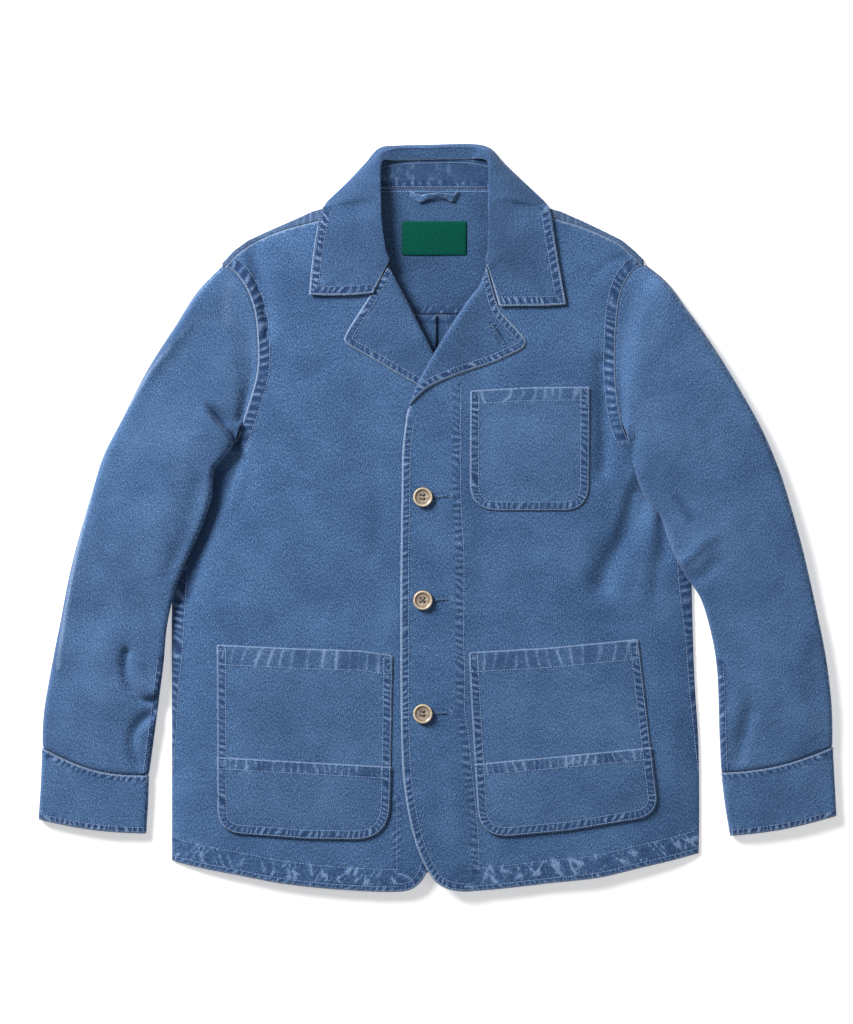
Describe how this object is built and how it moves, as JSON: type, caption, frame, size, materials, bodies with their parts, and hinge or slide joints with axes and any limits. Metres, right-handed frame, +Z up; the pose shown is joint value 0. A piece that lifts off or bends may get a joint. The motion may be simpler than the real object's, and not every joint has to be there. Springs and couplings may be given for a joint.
{
  "type": "shirt jacket",
  "caption": "Long-sleeved washed cotton shirt jacket, buttoned and laid flat on its back, with a notched collar, a chest pocket and patched lower patch pockets.",
  "frame": {"origin": "middle of the jacket's bounding box, on the surface it lies on", "axes": "+X to the viewer's right, which is the wearer's left; +Y from the hem to the collar; +Z up from the surface, out of the jacket's front"},
  "size_m": [0.847, 0.7924, 0.0195],
  "materials": {
    "washed_cotton_front": "washed twill, matt",
    "washed_cotton_back": "washed twill, matt",
    "washed_cotton_sleeve": "washed twill, matt",
    "washed_cotton_lapel": "washed twill, matt",
    "washed_cotton_pocket": "washed twill, matt",
    "washed_cotton_overlay": "washed twill, matt",
    "washed_cotton_collar": "washed twill, matt",
    "label_satin": "woven label, slight sheen",
    "horn": "polished horn"
  },
  "bodies": {
    "root": {"back_panel": "washed_cotton_back", "back_yoke": "washed_cotton_back", "front_right": "washed_cotton_front", "front_left": "washed_cotton_front", "lapel_right": "washed_cotton_lapel", "lapel_left": "washed_cotton_lapel", "pocket_right": "washed_cotton_pocket", "pocket_left": "washed_cotton_pocket", "pocket_chest": "washed_cotton_pocket", "pocket_right_overlay": "washed_cotton_overlay", "pocket_left_overlay": "washed_cotton_overlay", "sleeve_right": "washed_cotton_sleeve", "sleeve_left": "washed_cotton_sleeve", "cuff_right": "washed_cotton_collar", "cuff_left": "washed_cotton_collar", "collar_stand": "washed_cotton_collar", "collar_fall": "washed_cotton_collar", "hanger_loop": "washed_cotton_collar", "neck_label": "label_satin", "button_1": "horn", "button_2": "horn", "button_3": "horn"}
  },
  "joints": []
}
